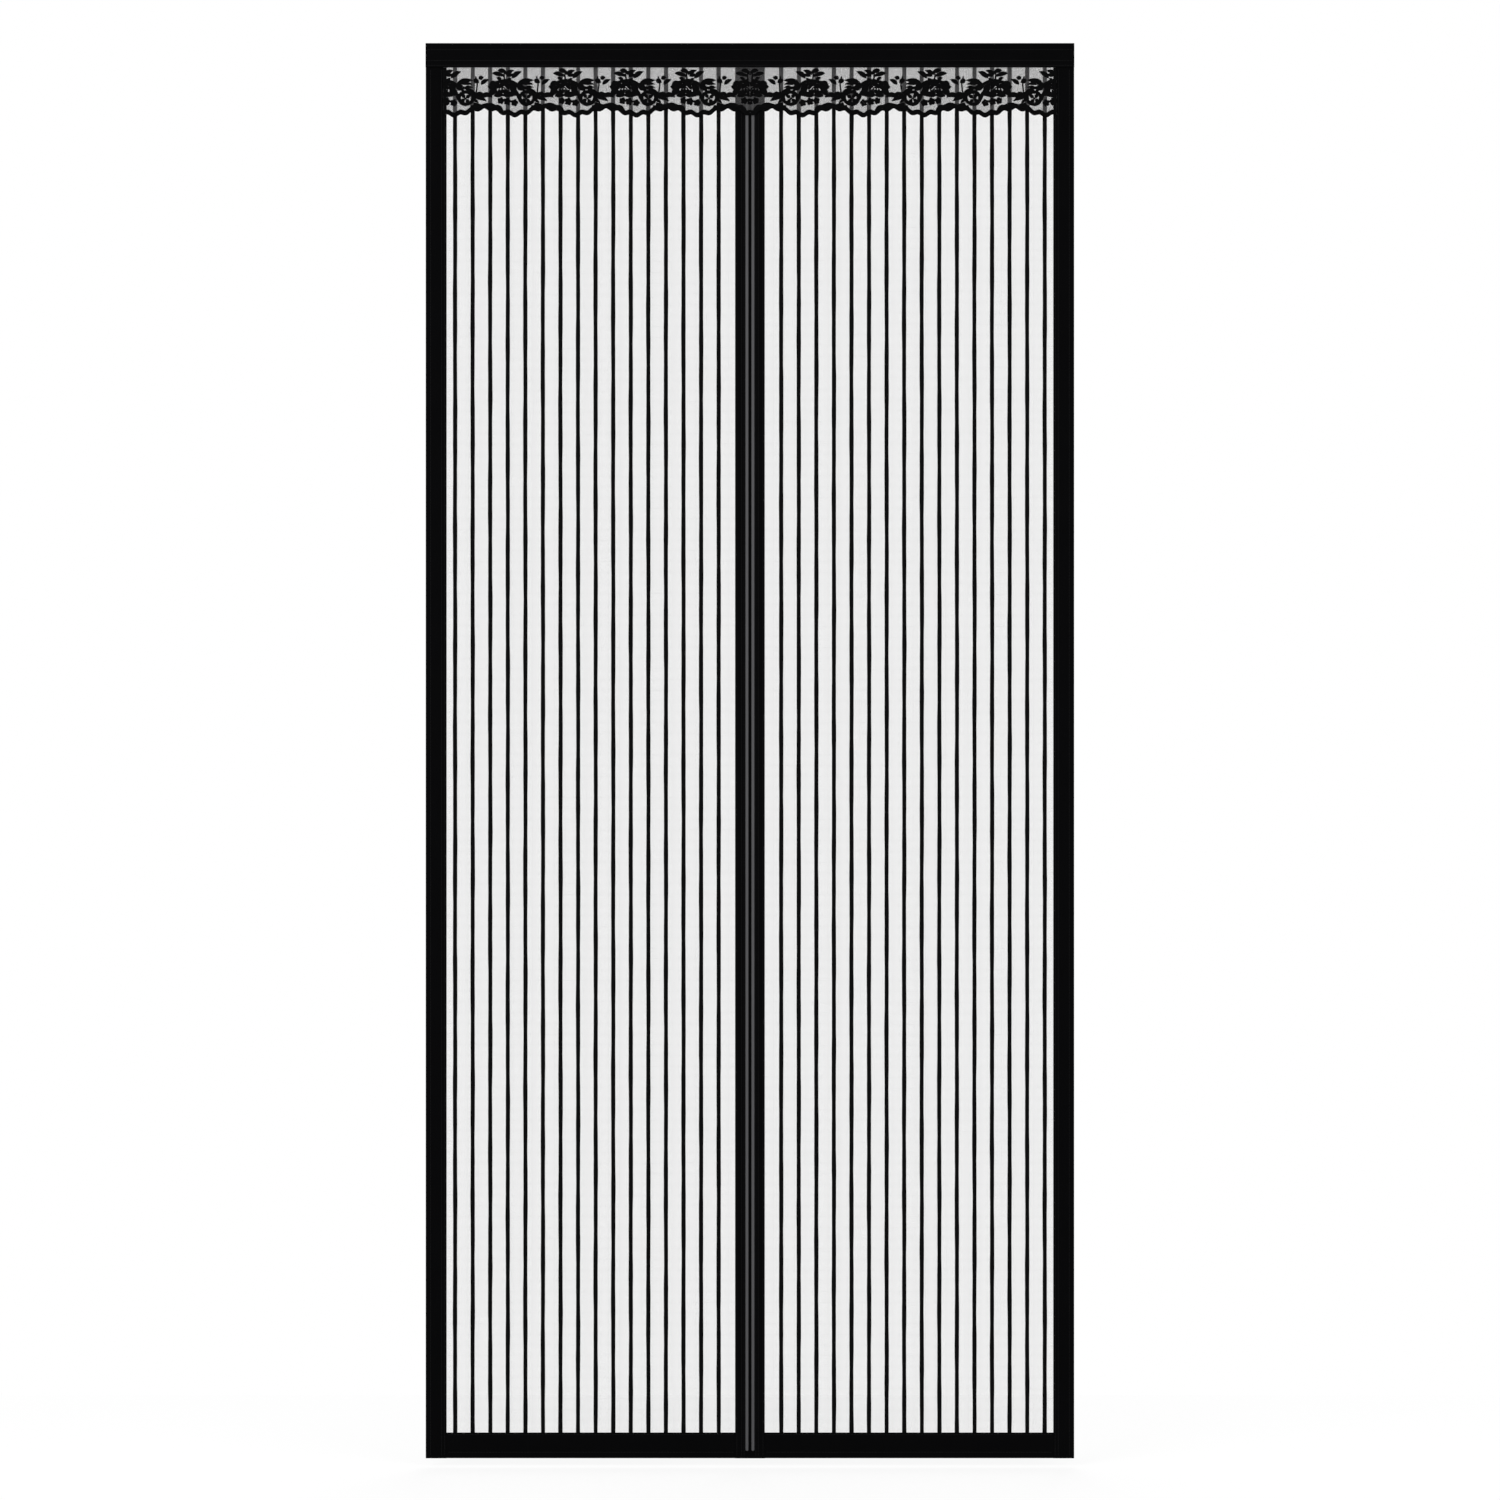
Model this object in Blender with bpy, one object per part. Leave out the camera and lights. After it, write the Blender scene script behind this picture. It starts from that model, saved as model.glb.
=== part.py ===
"""Magnetic insect screen: two striped net panels that meet at a magnetic seam.

Metres, +Z up, +X to the right as seen from the front, which faces -Y.
The origin is the middle of the adhesive face of the top fixing tape. Y = 0 is the
plane of the door frame, and every layer lies in front of it.
"""

import math

import bmesh
import bpy
from mathutils import Matrix, Vector

OBJECT_NAME = "magnetic_insect_screen"

# Size of the hung screen
WIDTH = 1.000
HEIGHT = 2.182

# Bands as seen from the front
TOP_BAND_HEIGHT = 0.0374
SIDE_BAND_WIDTH = 0.0322
BOTTOM_HEM_HEIGHT = 0.0394
SLEEVE_WIDTH = 0.0229

# Gap left between neighbouring pieces
CLEARANCE = 0.0003

# Folded cloth of the bands
LEAF_THICKNESS = 0.0006
NET_TUCK = 0.012
FOLD_STEPS = 6

# Hook and loop tape behind the bands
HOOK_TAPE_THICKNESS = 0.0012
LOOP_TAPE_THICKNESS = 0.0012
TAPE_WIDTH = 0.020
TAPE_END_INSET = 0.006

# Net panels: woven stripes with cross threads between them
STRIPE_PITCH = 0.0271
STRIPE_WIDTH = 0.0065
STRIPE_THICKNESS = 0.0008
FIRST_STRIPE = 0.0131
LAST_STRIPE_SPACE = 0.010
STRIPE_LAP = 0.0005
STRIPE_END_INSET = 0.002
GROUND_THICKNESS = 0.0004
GAP_ROWS = 7
CROSS_THREAD_HEIGHT = 0.0010

# Magnet strips in the front of the sleeves
MAGNET_WIDTH = 0.0045
MAGNET_THICKNESS = 0.0017
MAGNET_FROM_SEAM = 0.0046
MAGNET_END_SPACE = 0.0115
SLEEVE_BACKING = 0.0009
ROUND_END_STEPS = 10

# Steel strips in the bottom hems
WEIGHT_HEIGHT = 0.014
WEIGHT_THICKNESS = 0.0008
WEIGHT_END_SPACE = 0.006

# Lace valance
LACE_THICKNESS = 0.0005
LACE_DROP = 0.0706
LACE_HEADING = 0.010
LACE_SIDE_LAP = 0.006
LACE_REPEAT = 0.0938
FIRST_SCALLOP = 0.0810
SCALLOP_DEPTH = 0.0052
PICOT_DEPTH = 0.0019
PICOTS_PER_REPEAT = 5
POINTS_PER_PICOT = 4
LACE_MARGIN = 0.003

# Lace motif, measured outward from the middle of a scallop and down from the top band
ROSE_OUTWARD = 0.014
ROSE_DROP = 0.032
ROSE_PETALS = 5
PETAL_RADIUS = 0.0105
PETAL_LENGTH = 0.0125
PETAL_WIDTH = 0.0070
SPRIG_DROP = 0.0085
SPRIG_SPREAD = 0.016
SPRIG_TURN = math.radians(20)
LEAF_LENGTH = 0.014
LEAF_WIDTH = 0.0070
EYE_DROP = 0.057
EYE_SPREAD = 0.010
EYE_LENGTH = 0.016
EYE_WIDTH = 0.0080
WINDOW_OUTWARD = -0.036
UPPER_WINDOW_DROP = 0.019
UPPER_WINDOW_LENGTH = 0.040
UPPER_WINDOW_WIDTH = 0.022
LOWER_WINDOW_DROP = 0.048
LOWER_WINDOW_LENGTH = 0.036
LOWER_WINDOW_WIDTH = 0.016
WINDOW_SIDES = 10
CENTRE_LEAF_DROPS = (0.013, 0.034, 0.056)

# Heights of the bands, from the origin at the middle of the top fixing tape
TOP = TOP_BAND_HEIGHT / 2
BAND_LIP = TOP - TOP_BAND_HEIGHT
BOTTOM = TOP - HEIGHT
HEM_LIP = BOTTOM + BOTTOM_HEM_HEIGHT
PANEL_TOP = BAND_LIP - CLEARANCE

# Places across the right half, from the seam outwards
SEAM_EDGE = CLEARANCE / 2
OUTER_EDGE = WIDTH / 2
SIDE_LIP = OUTER_EDGE - SIDE_BAND_WIDTH

# Layers from back to front, along Y
HOOK_FRONT = -HOOK_TAPE_THICKNESS
LOOP_BACK = HOOK_FRONT - CLEARANCE
LOOP_FRONT = LOOP_BACK - LOOP_TAPE_THICKNESS
BAND_BACK = LOOP_FRONT - CLEARANCE
SLOT_BACK = BAND_BACK - LEAF_THICKNESS
NET_BACK = SLOT_BACK - CLEARANCE
NET_MIDDLE = NET_BACK - STRIPE_THICKNESS / 2
NET_FRONT = NET_BACK - STRIPE_THICKNESS
SLOT_FRONT = NET_FRONT - CLEARANCE
BAND_FRONT = SLOT_FRONT - LEAF_THICKNESS
MAGNET_BACK = BAND_BACK - SLEEVE_BACKING - CLEARANCE
MAGNET_FRONT = MAGNET_BACK - MAGNET_THICKNESS
SLEEVE_FRONT = min(BAND_FRONT, MAGNET_FRONT)
LACE_BACK = SLEEVE_FRONT - CLEARANCE
LACE_FRONT = LACE_BACK - LACE_THICKNESS
TOP_SLOT_FRONT = LACE_FRONT - CLEARANCE
TOP_BAND_FRONT = TOP_SLOT_FRONT - LEAF_THICKNESS

# How far past a wall a cutter runs
CUTTER_REACH = 0.002

# Rows of each matrix say which world axis the local x, y and z of an outline become
ALONG = {
    "x": Matrix(((0, 0, 1), (1, 0, 0), (0, 1, 0))).to_4x4(),
    "y": Matrix(((1, 0, 0), (0, 0, -1), (0, 1, 0))).to_4x4(),
    "z": Matrix.Identity(4),
}


def clear_scene():
    for old in list(bpy.data.objects):
        bpy.data.objects.remove(old, do_unlink=True)


def new_collection(name):
    collection = bpy.data.collections.new(name)
    bpy.context.scene.collection.children.link(collection)
    return collection


def new_material(name, colour, roughness, metallic=0.0):
    material = bpy.data.materials.new(name)
    material.use_nodes = True
    shader = material.node_tree.nodes["Principled BSDF"]
    shader.inputs["Base Color"].default_value = (*colour, 1.0)
    shader.inputs["Roughness"].default_value = roughness
    shader.inputs["Metallic"].default_value = metallic
    return material


def mesh_object(name, mesh, collection, material=None):
    """A named object for a mesh, shown with one material."""
    obj = bpy.data.objects.new(name, mesh)
    collection.objects.link(obj)
    if material:
        mesh.materials.append(material)
    return obj


def extrude_outline(name, outlines, low, high, along, collection, material=None):
    """Extrudes flat outlines from low to high along an axis; inner outlines are holes."""
    curve = bpy.data.curves.new(name, "CURVE")
    curve.dimensions = "2D"
    curve.fill_mode = "BOTH"
    curve.extrude = abs(high - low) / 2
    for outline in outlines:
        spline = curve.splines.new("POLY")
        spline.points.add(len(outline) - 1)
        for point, (u, v) in zip(spline.points, outline):
            point.co = (u, v, 0, 1)
        spline.use_cyclic_u = True
    drawn = bpy.data.objects.new(name, curve)
    collection.objects.link(drawn)
    middle = Vector((low + high) / 2 if axis == along else 0 for axis in "xyz")
    drawn.matrix_world = Matrix.Translation(middle) @ ALONG[along]
    obj = mesh_from_curve(drawn, collection)
    if material:
        obj.data.materials.append(material)
    return obj


def mesh_from_curve(drawn, collection):
    """The curve's solid as a mesh object in the same place, with its caps welded on."""
    bpy.context.view_layer.update()
    graph = bpy.context.evaluated_depsgraph_get()
    mesh = bpy.data.meshes.new_from_object(drawn.evaluated_get(graph))
    solid = bmesh.new()
    solid.from_mesh(mesh)
    bmesh.ops.remove_doubles(solid, verts=solid.verts, dist=1e-6)
    bmesh.ops.recalc_face_normals(solid, faces=solid.faces)
    solid.to_mesh(mesh)
    solid.free()
    name = drawn.name
    place = drawn.matrix_world.copy()
    bpy.data.objects.remove(drawn, do_unlink=True)
    mesh.name = name
    obj = bpy.data.objects.new(name, mesh)
    collection.objects.link(obj)
    obj.matrix_world = place
    return obj


def add_blocks(name, blocks, collection, material=None):
    """One object holding a box for each pair of opposite corners."""
    mesh = bpy.data.meshes.new(name)
    solid = bmesh.new()
    for corner, opposite in blocks:
        low = Vector(map(min, corner, opposite))
        high = Vector(map(max, corner, opposite))
        place = Matrix.Translation((low + high) / 2) @ Matrix.Diagonal((*(high - low), 1))
        bmesh.ops.create_cube(solid, size=1, matrix=place)
    solid.to_mesh(mesh)
    solid.free()
    return mesh_object(name, mesh, collection, material)


def combine(obj, helper, operation):
    """Cuts the helper from the object or joins it on, and leaves the helper unseen."""
    helper.hide_render = True
    helper.display_type = "WIRE"
    boolean = obj.modifiers.new(helper.name, "BOOLEAN")
    boolean.operation = operation
    boolean.object = helper


def side_name(side, piece):
    return ("left_" if side < 0 else "right_") + piece


def folded_section(lip, fold, back, front, slot_back, slot_front, slot_depth):
    """Outline of a folded band as (across, depth): a slot at the lip, a round fold behind."""
    outward = math.copysign(1, fold - lip)
    radius = abs(back - front) / 2
    centre = fold - outward * radius
    floor = lip + outward * slot_depth
    arc = []
    for step in range(FOLD_STEPS + 1):
        angle = math.pi * step / FOLD_STEPS
        depth = (back + front) / 2 + radius * math.cos(angle)
        arc.append((centre + outward * radius * math.sin(angle), depth))
    return [
        (lip, back),
        *arc,
        (lip, front),
        (lip, slot_front),
        (floor, slot_front),
        (floor, slot_back),
        (lip, slot_back),
    ]


def stadium(centre, width, low, high):
    """Upright outline with half-round ends, in X and Z."""
    radius = width / 2
    points = []
    for end, height in ((1, high - radius), (-1, low + radius)):
        for step in range(ROUND_END_STEPS + 1):
            angle = math.pi * step / ROUND_END_STEPS
            points.append(
                (
                    centre + end * radius * math.cos(angle),
                    height + end * radius * math.sin(angle),
                )
            )
    return points


def add_top_band(parts, cloth):
    section = folded_section(
        BAND_LIP,
        TOP,
        BAND_BACK,
        TOP_BAND_FRONT,
        SLOT_BACK,
        TOP_SLOT_FRONT,
        max(NET_TUCK, LACE_HEADING) + CLEARANCE,
    )
    outline = [(depth, height) for height, depth in section]
    extrude_outline("top_band", [outline], -OUTER_EDGE, OUTER_EDGE, "x", parts, cloth)


def add_side_band(side, parts, cloth):
    section = folded_section(
        SIDE_LIP,
        OUTER_EDGE,
        BAND_BACK,
        BAND_FRONT,
        SLOT_BACK,
        SLOT_FRONT,
        NET_TUCK + CLEARANCE,
    )
    outline = [(side * across, depth) for across, depth in section]
    name = side_name(side, "side_band")
    extrude_outline(name, [outline], BOTTOM, PANEL_TOP, "z", parts, cloth)


def add_bottom_hem(side, parts, cloth):
    """The hem's slot holds the steel strip with the net's lower edge above it."""
    slot_depth = NET_TUCK + CLEARANCE + WEIGHT_HEIGHT + CLEARANCE
    section = folded_section(
        HEM_LIP, BOTTOM, BAND_BACK, BAND_FRONT, SLOT_BACK, SLOT_FRONT, slot_depth
    )
    outline = [(depth, height) for height, depth in section]
    ends = sorted((side * (SLEEVE_WIDTH + CLEARANCE), side * (SIDE_LIP - CLEARANCE)))
    extrude_outline(
        side_name(side, "bottom_hem"), [outline], *ends, "x", parts, cloth
    )


def magnet_reach():
    """Lowest and highest point of the magnet strips."""
    return BOTTOM + MAGNET_END_SPACE, PANEL_TOP - MAGNET_END_SPACE


def add_magnet_sleeve(side, parts, cutters, cloth):
    """A thick sleeve with a slot for the net and a groove in front for the magnet."""
    floor = SLEEVE_WIDTH - NET_TUCK - CLEARANCE
    section = [
        (SEAM_EDGE, BAND_BACK),
        (SLEEVE_WIDTH, BAND_BACK),
        (SLEEVE_WIDTH, SLOT_BACK),
        (floor, SLOT_BACK),
        (floor, SLOT_FRONT),
        (SLEEVE_WIDTH, SLOT_FRONT),
        (SLEEVE_WIDTH, SLEEVE_FRONT),
        (SEAM_EDGE, SLEEVE_FRONT),
    ]
    outline = [(side * across, depth) for across, depth in section]
    name = side_name(side, "magnet_sleeve")
    sleeve = extrude_outline(name, [outline], BOTTOM, PANEL_TOP, "z", parts, cloth)
    low, high = magnet_reach()
    groove = stadium(
        side * MAGNET_FROM_SEAM,
        MAGNET_WIDTH + 2 * CLEARANCE,
        low - CLEARANCE,
        high + CLEARANCE,
    )
    cutter = extrude_outline(
        name + "_groove",
        [groove],
        SLEEVE_FRONT - CUTTER_REACH,
        MAGNET_BACK + CLEARANCE,
        "y",
        cutters,
    )
    combine(sleeve, cutter, "DIFFERENCE")


def add_magnet_strip(side, parts, rubber):
    low, high = magnet_reach()
    outline = stadium(side * MAGNET_FROM_SEAM, MAGNET_WIDTH, low, high)
    name = side_name(side, "magnet_strip")
    extrude_outline(name, [outline], MAGNET_FRONT, MAGNET_BACK, "y", parts, rubber)


def add_hem_weight(side, parts, steel):
    low = HEM_LIP - NET_TUCK - CLEARANCE - WEIGHT_HEIGHT
    inner = side * (SLEEVE_WIDTH + WEIGHT_END_SPACE)
    outer = side * (SIDE_LIP - WEIGHT_END_SPACE)
    back = SLOT_BACK - CLEARANCE
    corners = (inner, back, low), (outer, back - WEIGHT_THICKNESS, low + WEIGHT_HEIGHT)
    add_blocks(side_name(side, "hem_weight"), [corners], parts, steel)


def stripe_centres():
    """Distances of the stripes from the seam, starting at the side band."""
    reach = SIDE_LIP - SLEEVE_WIDTH - FIRST_STRIPE - LAST_STRIPE_SPACE
    count = int(reach / STRIPE_PITCH) + 1
    return [SIDE_LIP - FIRST_STRIPE - STRIPE_PITCH * index for index in range(count)]


def add_net(side, parts, cutters, threads):
    """One panel: a thin ground cut by gaps, with the woven stripes as ridges on it."""
    name = side_name(side, "net")
    low = HEM_LIP - NET_TUCK
    high = BAND_LIP + NET_TUCK
    inner = side * (SLEEVE_WIDTH - NET_TUCK)
    outer = side * (SIDE_LIP + NET_TUCK)
    half_ground = GROUND_THICKNESS / 2
    wall = (
        (inner, NET_MIDDLE + half_ground, low),
        (outer, NET_MIDDLE - half_ground, high),
    )
    net = add_blocks(name, [wall], parts, threads)

    centres = stripe_centres()
    half_gap_edge = STRIPE_WIDTH / 2 - STRIPE_LAP
    edges = [SIDE_LIP]
    for centre in centres:
        edges += [centre + half_gap_edge, centre - half_gap_edge]
    edges.append(SLEEVE_WIDTH)
    row_pitch = (PANEL_TOP - HEM_LIP) / GAP_ROWS
    gaps = []
    for row in range(GAP_ROWS):
        row_low = HEM_LIP + row * row_pitch + CROSS_THREAD_HEIGHT / 2
        row_high = HEM_LIP + (row + 1) * row_pitch - CROSS_THREAD_HEIGHT / 2
        for far, near in zip(edges[0::2], edges[1::2]):
            gaps.append(
                (
                    (side * far, NET_BACK + CUTTER_REACH, row_low),
                    (side * near, NET_FRONT - CUTTER_REACH, row_high),
                )
            )
    combine(net, add_blocks(name + "_gaps", gaps, cutters), "DIFFERENCE")

    stripes = []
    for centre in centres:
        stripes.append(
            (
                (side * (centre - STRIPE_WIDTH / 2), NET_BACK, low + STRIPE_END_INSET),
                (side * (centre + STRIPE_WIDTH / 2), NET_FRONT, high - STRIPE_END_INSET),
            )
        )
    combine(net, add_blocks(name + "_stripes", stripes, cutters), "UNION")


def lace_edge(across):
    """Height of the scalloped lower edge at a distance from the seam."""
    turn = math.tau * (across - FIRST_SCALLOP) / LACE_REPEAT
    scallop = SCALLOP_DEPTH * math.cos(turn)
    picot = PICOT_DEPTH * math.cos(PICOTS_PER_REPEAT * turn)
    return BAND_LIP - LACE_DROP - scallop - picot


def oval(outward, drop, length, width, turn=0.0, sides=6):
    """Oval opening in the lace, as (distance from the seam, height) points."""
    points = []
    for corner in range(sides):
        angle = math.tau * corner / sides
        along = length / 2 * math.cos(angle)
        beside = width / 2 * math.sin(angle)
        points.append(
            (
                outward + along * math.cos(turn) - beside * math.sin(turn),
                BAND_LIP - drop + along * math.sin(turn) + beside * math.cos(turn),
            )
        )
    return points


def motif_gaps(middle):
    """Openings of one repeat: rose petals, a sprig above, eyes below, net windows beside."""
    rose = middle + ROSE_OUTWARD
    gaps = []
    for petal in range(ROSE_PETALS):
        angle = math.pi / 2 + math.tau * petal / ROSE_PETALS
        gaps.append(
            oval(
                rose + PETAL_RADIUS * math.cos(angle),
                ROSE_DROP - PETAL_RADIUS * math.sin(angle),
                PETAL_LENGTH,
                PETAL_WIDTH,
                angle,
            )
        )
    for leaf in (-1, 0, 1):
        gaps.append(
            oval(
                rose + leaf * SPRIG_SPREAD,
                SPRIG_DROP,
                LEAF_LENGTH,
                LEAF_WIDTH,
                leaf * SPRIG_TURN,
            )
        )
    for eye in (-1, 1):
        gaps.append(oval(rose + eye * EYE_SPREAD, EYE_DROP, EYE_LENGTH, EYE_WIDTH))
    window = middle + WINDOW_OUTWARD
    for drop, length, width in (
        (UPPER_WINDOW_DROP, UPPER_WINDOW_LENGTH, UPPER_WINDOW_WIDTH),
        (LOWER_WINDOW_DROP, LOWER_WINDOW_LENGTH, LOWER_WINDOW_WIDTH),
    ):
        gaps.append(oval(window, drop, length, width, sides=WINDOW_SIDES))
    return gaps


def add_lace(parts, threads):
    """Scalloped strip with floral openings, mirrored about the seam."""
    end = SIDE_LIP + LACE_SIDE_LAP
    steps = math.ceil(end / LACE_REPEAT * PICOTS_PER_REPEAT * POINTS_PER_PICOT)
    half = [end * step / steps for step in range(steps + 1)]
    right = [(across, lace_edge(across)) for across in half]
    left = [(-across, height) for across, height in reversed(right[1:])]
    top = BAND_LIP + LACE_HEADING
    border = [*left, *right, (end, top), (-end, top)]

    gaps = []
    for repeat in range(math.ceil((end - FIRST_SCALLOP) / LACE_REPEAT)):
        for gap in motif_gaps(FIRST_SCALLOP + repeat * LACE_REPEAT):
            furthest = max(across for across, _ in gap)
            if furthest < end - LACE_MARGIN:
                gaps.append(gap)
    mirrored = [[(-across, height) for across, height in gap] for gap in gaps]
    for drop in CENTRE_LEAF_DROPS:
        gaps.append(oval(0, drop, LEAF_LENGTH, LEAF_WIDTH, math.pi / 2))
    extrude_outline(
        "lace_valance",
        [border, *gaps, *mirrored],
        LACE_FRONT,
        LACE_BACK,
        "y",
        parts,
        threads,
    )


def add_fixing_tapes(parts, loop, hook):
    """Loop tape on the bands and hook tape on the door frame, along the top and sides."""
    layers = (
        ("loop_tape", LOOP_BACK, LOOP_FRONT, loop),
        ("hook_tape", 0, HOOK_FRONT, hook),
    )
    half = TAPE_WIDTH / 2
    column = OUTER_EDGE - SIDE_BAND_WIDTH / 2
    for tape, back, front, material in layers:
        end = OUTER_EDGE - TAPE_END_INSET
        across = ((-end, back, -half), (end, front, half))
        add_blocks("top_" + tape, [across], parts, material)
        for side in (-1, 1):
            down = (
                (side * (column - half), back, BOTTOM + TAPE_END_INSET),
                (side * (column + half), front, -half - CLEARANCE),
            )
            add_blocks(side_name(side, tape), [down], parts, material)


def main():
    clear_scene()
    parts = new_collection(OBJECT_NAME)
    cutters = new_collection("cutters")

    cloth = new_material("black_binding_cloth", (0.004, 0.004, 0.0045), 0.85)
    threads = new_material("black_net_thread", (0.005, 0.005, 0.0055), 0.70)
    lace_threads = new_material("black_lace_thread", (0.010, 0.010, 0.011), 0.60)
    rubber = new_material("dark_grey_magnet_rubber", (0.075, 0.075, 0.078), 0.60)
    steel = new_material("galvanised_steel", (0.55, 0.56, 0.57), 0.35, 1.0)
    loop = new_material("black_loop_pile", (0.008, 0.008, 0.009), 0.95)
    hook = new_material("black_hook_plastic", (0.012, 0.012, 0.013), 0.45)

    add_top_band(parts, cloth)
    for side in (-1, 1):
        add_side_band(side, parts, cloth)
        add_bottom_hem(side, parts, cloth)
        add_magnet_sleeve(side, parts, cutters, cloth)
        add_magnet_strip(side, parts, rubber)
        add_hem_weight(side, parts, steel)
        add_net(side, parts, cutters, threads)
    add_lace(parts, lace_threads)
    add_fixing_tapes(parts, loop, hook)


main()
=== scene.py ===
"""Dresses the magnetic insect screen: nets, lace, folded bands, stitching and tapes.

Metres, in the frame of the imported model: +Z up, the front faces -Y, and the origin is
the middle of the adhesive face of the top fixing tape.
"""

import math
import random

import bmesh
import bpy
from bpy.props import FloatProperty, FloatVectorProperty, IntProperty, PointerProperty
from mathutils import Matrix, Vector


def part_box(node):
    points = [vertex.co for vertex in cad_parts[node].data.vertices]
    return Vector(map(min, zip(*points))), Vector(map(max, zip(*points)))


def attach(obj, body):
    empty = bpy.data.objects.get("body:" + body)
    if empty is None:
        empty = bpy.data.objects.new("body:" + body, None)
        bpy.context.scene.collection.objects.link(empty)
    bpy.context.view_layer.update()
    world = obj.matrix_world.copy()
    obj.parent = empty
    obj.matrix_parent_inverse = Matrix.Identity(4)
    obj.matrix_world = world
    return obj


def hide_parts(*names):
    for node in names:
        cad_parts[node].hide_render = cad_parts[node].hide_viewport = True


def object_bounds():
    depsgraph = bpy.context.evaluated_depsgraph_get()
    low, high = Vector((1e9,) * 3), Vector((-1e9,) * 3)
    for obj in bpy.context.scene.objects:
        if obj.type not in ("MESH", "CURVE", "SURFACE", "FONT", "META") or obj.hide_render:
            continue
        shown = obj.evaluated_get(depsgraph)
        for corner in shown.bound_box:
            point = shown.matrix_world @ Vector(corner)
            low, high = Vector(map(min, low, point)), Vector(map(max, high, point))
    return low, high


bl_info = {
    "name": "Magnetic insect screen",
    "version": (1, 0, 0),
    "blender": (4, 5, 0),
    "location": "3D View > Sidebar > Insect screen",
    "description": "Builds the nets, lace, bands and tapes of a magnetic insect screen",
    "category": "Add Mesh",
}

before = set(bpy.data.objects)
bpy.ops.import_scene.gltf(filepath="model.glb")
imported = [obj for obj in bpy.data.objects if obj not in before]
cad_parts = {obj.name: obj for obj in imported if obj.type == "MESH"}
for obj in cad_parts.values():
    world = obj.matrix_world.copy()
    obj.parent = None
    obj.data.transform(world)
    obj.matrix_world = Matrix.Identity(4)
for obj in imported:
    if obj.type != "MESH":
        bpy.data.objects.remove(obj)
CAD_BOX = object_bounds()

SIDES = {"left": -1, "right": 1}
FORWARD = Vector((0, -1, 0))

# Edges of the cloth as seen from the front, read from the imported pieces
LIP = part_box("top_band")[0].z
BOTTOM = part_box("right_side_band")[0].z
SIDE_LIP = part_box("right_side_band")[0].x
SLEEVE_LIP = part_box("right_magnet_sleeve")[1].x
HEM_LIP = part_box("right_bottom_hem")[1].z
LACE_LOW, LACE_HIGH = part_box("lace_valance")
LACE_MIDDLE = (LACE_LOW.y + LACE_HIGH.y) / 2

# Folded cloth: its thickness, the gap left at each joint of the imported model, how deep
# the slots for the net go, and how far a fold and a lip are rounded
LEAF = 0.0006
JOINT = 0.0003
SLOT_DEPTH = 0.0123
HEM_SLOT_DEPTH = 0.0266
FOLD_SHARE = 0.97
LIP_ROUND = 0.00025
SEAM_ROUND = 0.0009

# Rows of stitches, and the dip that each pulls into the cloth
EDGE_ROW = 0.0028
TOP_ROWS = (LIP + EDGE_ROW, -0.0085, 0.0085)
SIDE_ROWS = (EDGE_ROW, 0.0076, 0.0246)
HEM_ROWS = (EDGE_ROW, 0.0300)
MAGNET_ROWS = (0.0090, 0.0128)
DIP_HALF = 0.0014

# How far from its two ends a band's stitches start and stop, and how often a band is
# divided along its length
TOP_ENDS = (0.002, 0.002)
SIDE_ENDS = (0.002, 0.001)
HEM_ENDS = (0.001, 0.001)
TOP_CUTS = 60
SIDE_CUTS = 130
HEM_CUTS = 28

# One stitch: half its width, how far it stands out and is sunk in, half of its flat
# part and each diving end as shares of its length, and how deep the ends dive
STITCH_HALF = 0.00022
STITCH_PROUD = 0.0001
STITCH_SUNK = 0.0002
FLAT_SHARE = 0.32
DIVE_SHARE = 0.18
DIVE_DEPTH = 0.00022

# What counts as at a place, as on one level, as a long edge, and as running along an axis
NEAR = 1e-5
SAME_LEVEL = 0.0002
LONG = 0.1
STRAIGHT = 0.99

# Magnet strips: the rounding of their edges, half of the flat left at their ends, the
# room round them in their groove, and how far its cutter stands out of the cloth
MAGNET_ROUND = 0.0005
STRIP_FLAT = 0.0001
GROOVE_ROOM = 0.0003
CUTTER_REACH = 0.002

# Fixing tapes: the border of their backs, how deep the middle is, the edge rounding,
# and how often they are divided along X and Z
TAPE_BORDER = 0.0015
TAPE_HOLLOW = 0.0002
TAPE_ROUND = 0.00025
TAPE_CUTS = {0: 40, 2: 90}

# Stripes of the net, from the side band inwards
FIRST_STRIPE = 0.0131
STRIPE_PITCH = 0.0271
STRIPE_COUNT = 16
STRIPE_HEIGHT = 0.0007

# Lengths of the straight bits in upright threads, cross threads and stripes
UPRIGHT_STEP = 0.09
CROSS_STEP = 0.052
STRIPE_STEP = 0.018

# Waves as (reach, length): the swell of a panel, and a stripe's wander and uneven width
SWELL = ((0.6, 1.55), (0.4, 0.93))
WANDER = ((0.00012, 0.31), (0.00008, 0.113))
UNEVEN = ((0.05, 0.17), (0.04, 0.061))

# Where the swell of each panel starts its waves, how far below the top band a panel
# stays flat, and over what length its swell grows
SWELL_PHASES = {"left": 0.7, "right": 2.3}
CLEAR_OF_LACE = 0.085
SWELL_START = 0.30

# Lace pattern, measured from the seam outwards and down from the top band
LACE_REPEAT = 0.0938
FIRST_SCALLOP = 0.0810
LACE_DROP = 0.0706
SCALLOP_DEPTH = 0.0052
PICOT_DEPTH = 0.0019
PICOTS = 5
LACE_WAVE = 0.128
EDGE_ROOM = 0.001
BAND_ROOM = 0.0006

# Threads of the ground: how finely their ends are found, the least number of such
# steps, where they have points, and their height as a share of their width
GROUND_STEP = 0.0015
SHORTEST_THREAD = 3
GROUND_SHARES = (0, 0.35, 0.7, 1)
GROUND_FLATNESS = 0.8

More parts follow.
